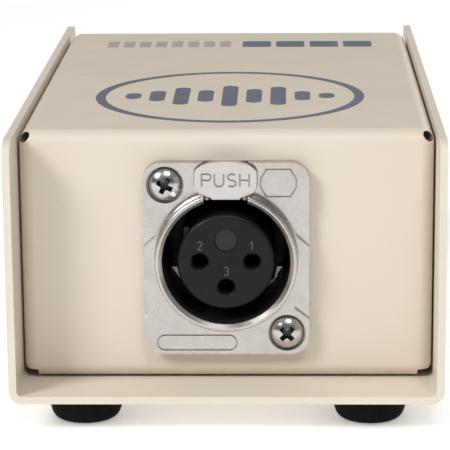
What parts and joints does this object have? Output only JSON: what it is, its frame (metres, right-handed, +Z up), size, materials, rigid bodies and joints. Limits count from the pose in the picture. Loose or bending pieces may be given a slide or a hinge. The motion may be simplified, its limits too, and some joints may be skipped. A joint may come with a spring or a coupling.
{
  "type": "direct injection box",
  "caption": "Passive direct injection box: folded chassis in an open-ended folded sleeve, latching three-pole socket in front, jacks and slide switches behind, rubber feet.",
  "frame": {"origin": "centre of the box's footprint, on the surface that its feet stand on", "axes": "+X across the box to the right as seen from the socket end, +Y along the box from the socket end to the jack end, +Z up"},
  "size_m": [0.068, 0.1144, 0.0467],
  "materials": {
    "sleeve_paint": "satin cream powder coat",
    "chassis_paint": "satin cream powder coat",
    "foot_rubber": "matte black",
    "screw_zinc": "bright zinc",
    "spacer_brass": "plain",
    "board_green": "solder mask",
    "socket_nickel": "satin nickel",
    "latch_nickel": "blasted nickel",
    "spring_steel": "plain",
    "insert_plastic": "fine moulded grain",
    "contact_gold": "gold flash",
    "jack_plastic": "moulded",
    "jack_nickel": "bright nickel",
    "switch_black": "moulded",
    "slider_black": "ribbed",
    "core_steel": "stacked laminations",
    "strap_steel": "bright zinc",
    "bobbin_plastic": "moulded",
    "winding_tape": "polyester tape",
    "resistor_body": "lacquer",
    "capacitor_red": "moulded box",
    "wire_black": "sleeving",
    "wire_red": "sleeving",
    "wire_white": "sleeving"
  },
  "bodies": {
    "case": {"outer_sleeve": "sleeve_paint", "inner_chassis": "chassis_paint", "foot_front_left": "foot_rubber", "foot_front_right": "foot_rubber", "foot_rear_left": "foot_rubber", "foot_rear_right": "foot_rubber", "case_screw_front_left": "screw_zinc", "case_screw_front_right": "screw_zinc", "case_screw_rear_left": "screw_zinc", "case_screw_rear_right": "screw_zinc", "board_screw_front_left": "screw_zinc", "board_screw_front_right": "screw_zinc", "board_screw_rear_left": "screw_zinc", "board_screw_rear_right": "screw_zinc", "latch_pin": "screw_zinc", "socket_nut_upper": "screw_zinc", "socket_nut_lower": "screw_zinc", "standoff_front_left": "spacer_brass", "standoff_front_right": "spacer_brass", "standoff_rear_left": "spacer_brass", "standoff_rear_right": "spacer_brass", "circuit_board": "board_green", "socket_shell": "socket_nickel", "socket_screw_upper": "socket_nickel", "socket_screw_lower": "socket_nickel", "latch_spring": "spring_steel", "ground_spring": "spring_steel", "socket_insert": "insert_plastic", "socket_contact_1": "contact_gold", "socket_contact_2": "contact_gold", "socket_contact_3": "contact_gold", "input_jack_body": "jack_plastic", "thru_jack_body": "jack_plastic", "input_jack_nut": "jack_nickel", "thru_jack_nut": "jack_nickel", "input_jack_washer": "jack_nickel", "thru_jack_washer": "jack_nickel", "lift_switch_screw_left": "jack_nickel", "lift_switch_screw_right": "jack_nickel", "pad_switch_screw_left": "jack_nickel", "pad_switch_screw_right": "jack_nickel", "lift_switch_frame": "switch_black", "pad_switch_frame": "switch_black", "transformer_core": "core_steel", "transformer_strap": "strap_steel", "transformer_bobbin": "bobbin_plastic", "transformer_winding": "winding_tape", "pad_resistor_1": "resistor_body", "pad_resistor_2": "resistor_body", "film_capacitor": "capacitor_red", "output_wire_1": "wire_black", "lift_switch_wire": "wire_black", "output_wire_2": "wire_red", "pad_switch_wire": "wire_red", "output_wire_3": "wire_white"},
    "latch": {"socket_latch": "latch_nickel"},
    "lift_slider": {"lift_switch_slider": "slider_black"},
    "pad_slider": {"pad_switch_slider": "slider_black"},
    "input_tip": {"input_tip_spring": "spring_steel"},
    "thru_tip": {"thru_tip_spring": "spring_steel"}
  },
  "joints": [
    {"name": "latch_press", "type": "hinge", "parent": "case", "child": "latch", "pos_m": [0, -0.0473, 0.03712], "axis": [-1, 0, 0], "range_deg": [0, 8], "stiffness_Nm_per_rad": 0.08, "springref_deg": -2.86, "deforming": ["latch_spring"]},
    {"name": "lift_switch_slide", "type": "slide", "parent": "case", "child": "lift_slider", "axis": [1, 0, 0], "range_m": [0, 0.0036]},
    {"name": "pad_switch_slide", "type": "slide", "parent": "case", "child": "pad_slider", "axis": [1, 0, 0], "range_m": [0, 0.0036]},
    {"name": "input_tip_flex", "type": "hinge", "parent": "case", "child": "input_tip", "pos_m": [-0.01455, 0.02555, 0.02583], "axis": [1, 0, 0], "range_deg": [0, 6], "stiffness_Nm_per_rad": 0.02, "springref_deg": -2.86},
    {"name": "thru_tip_flex", "type": "hinge", "parent": "case", "child": "thru_tip", "pos_m": [0.01455, 0.02555, 0.02583], "axis": [1, 0, 0], "range_deg": [0, 6], "stiffness_Nm_per_rad": 0.02, "springref_deg": -2.86}
  ]
}
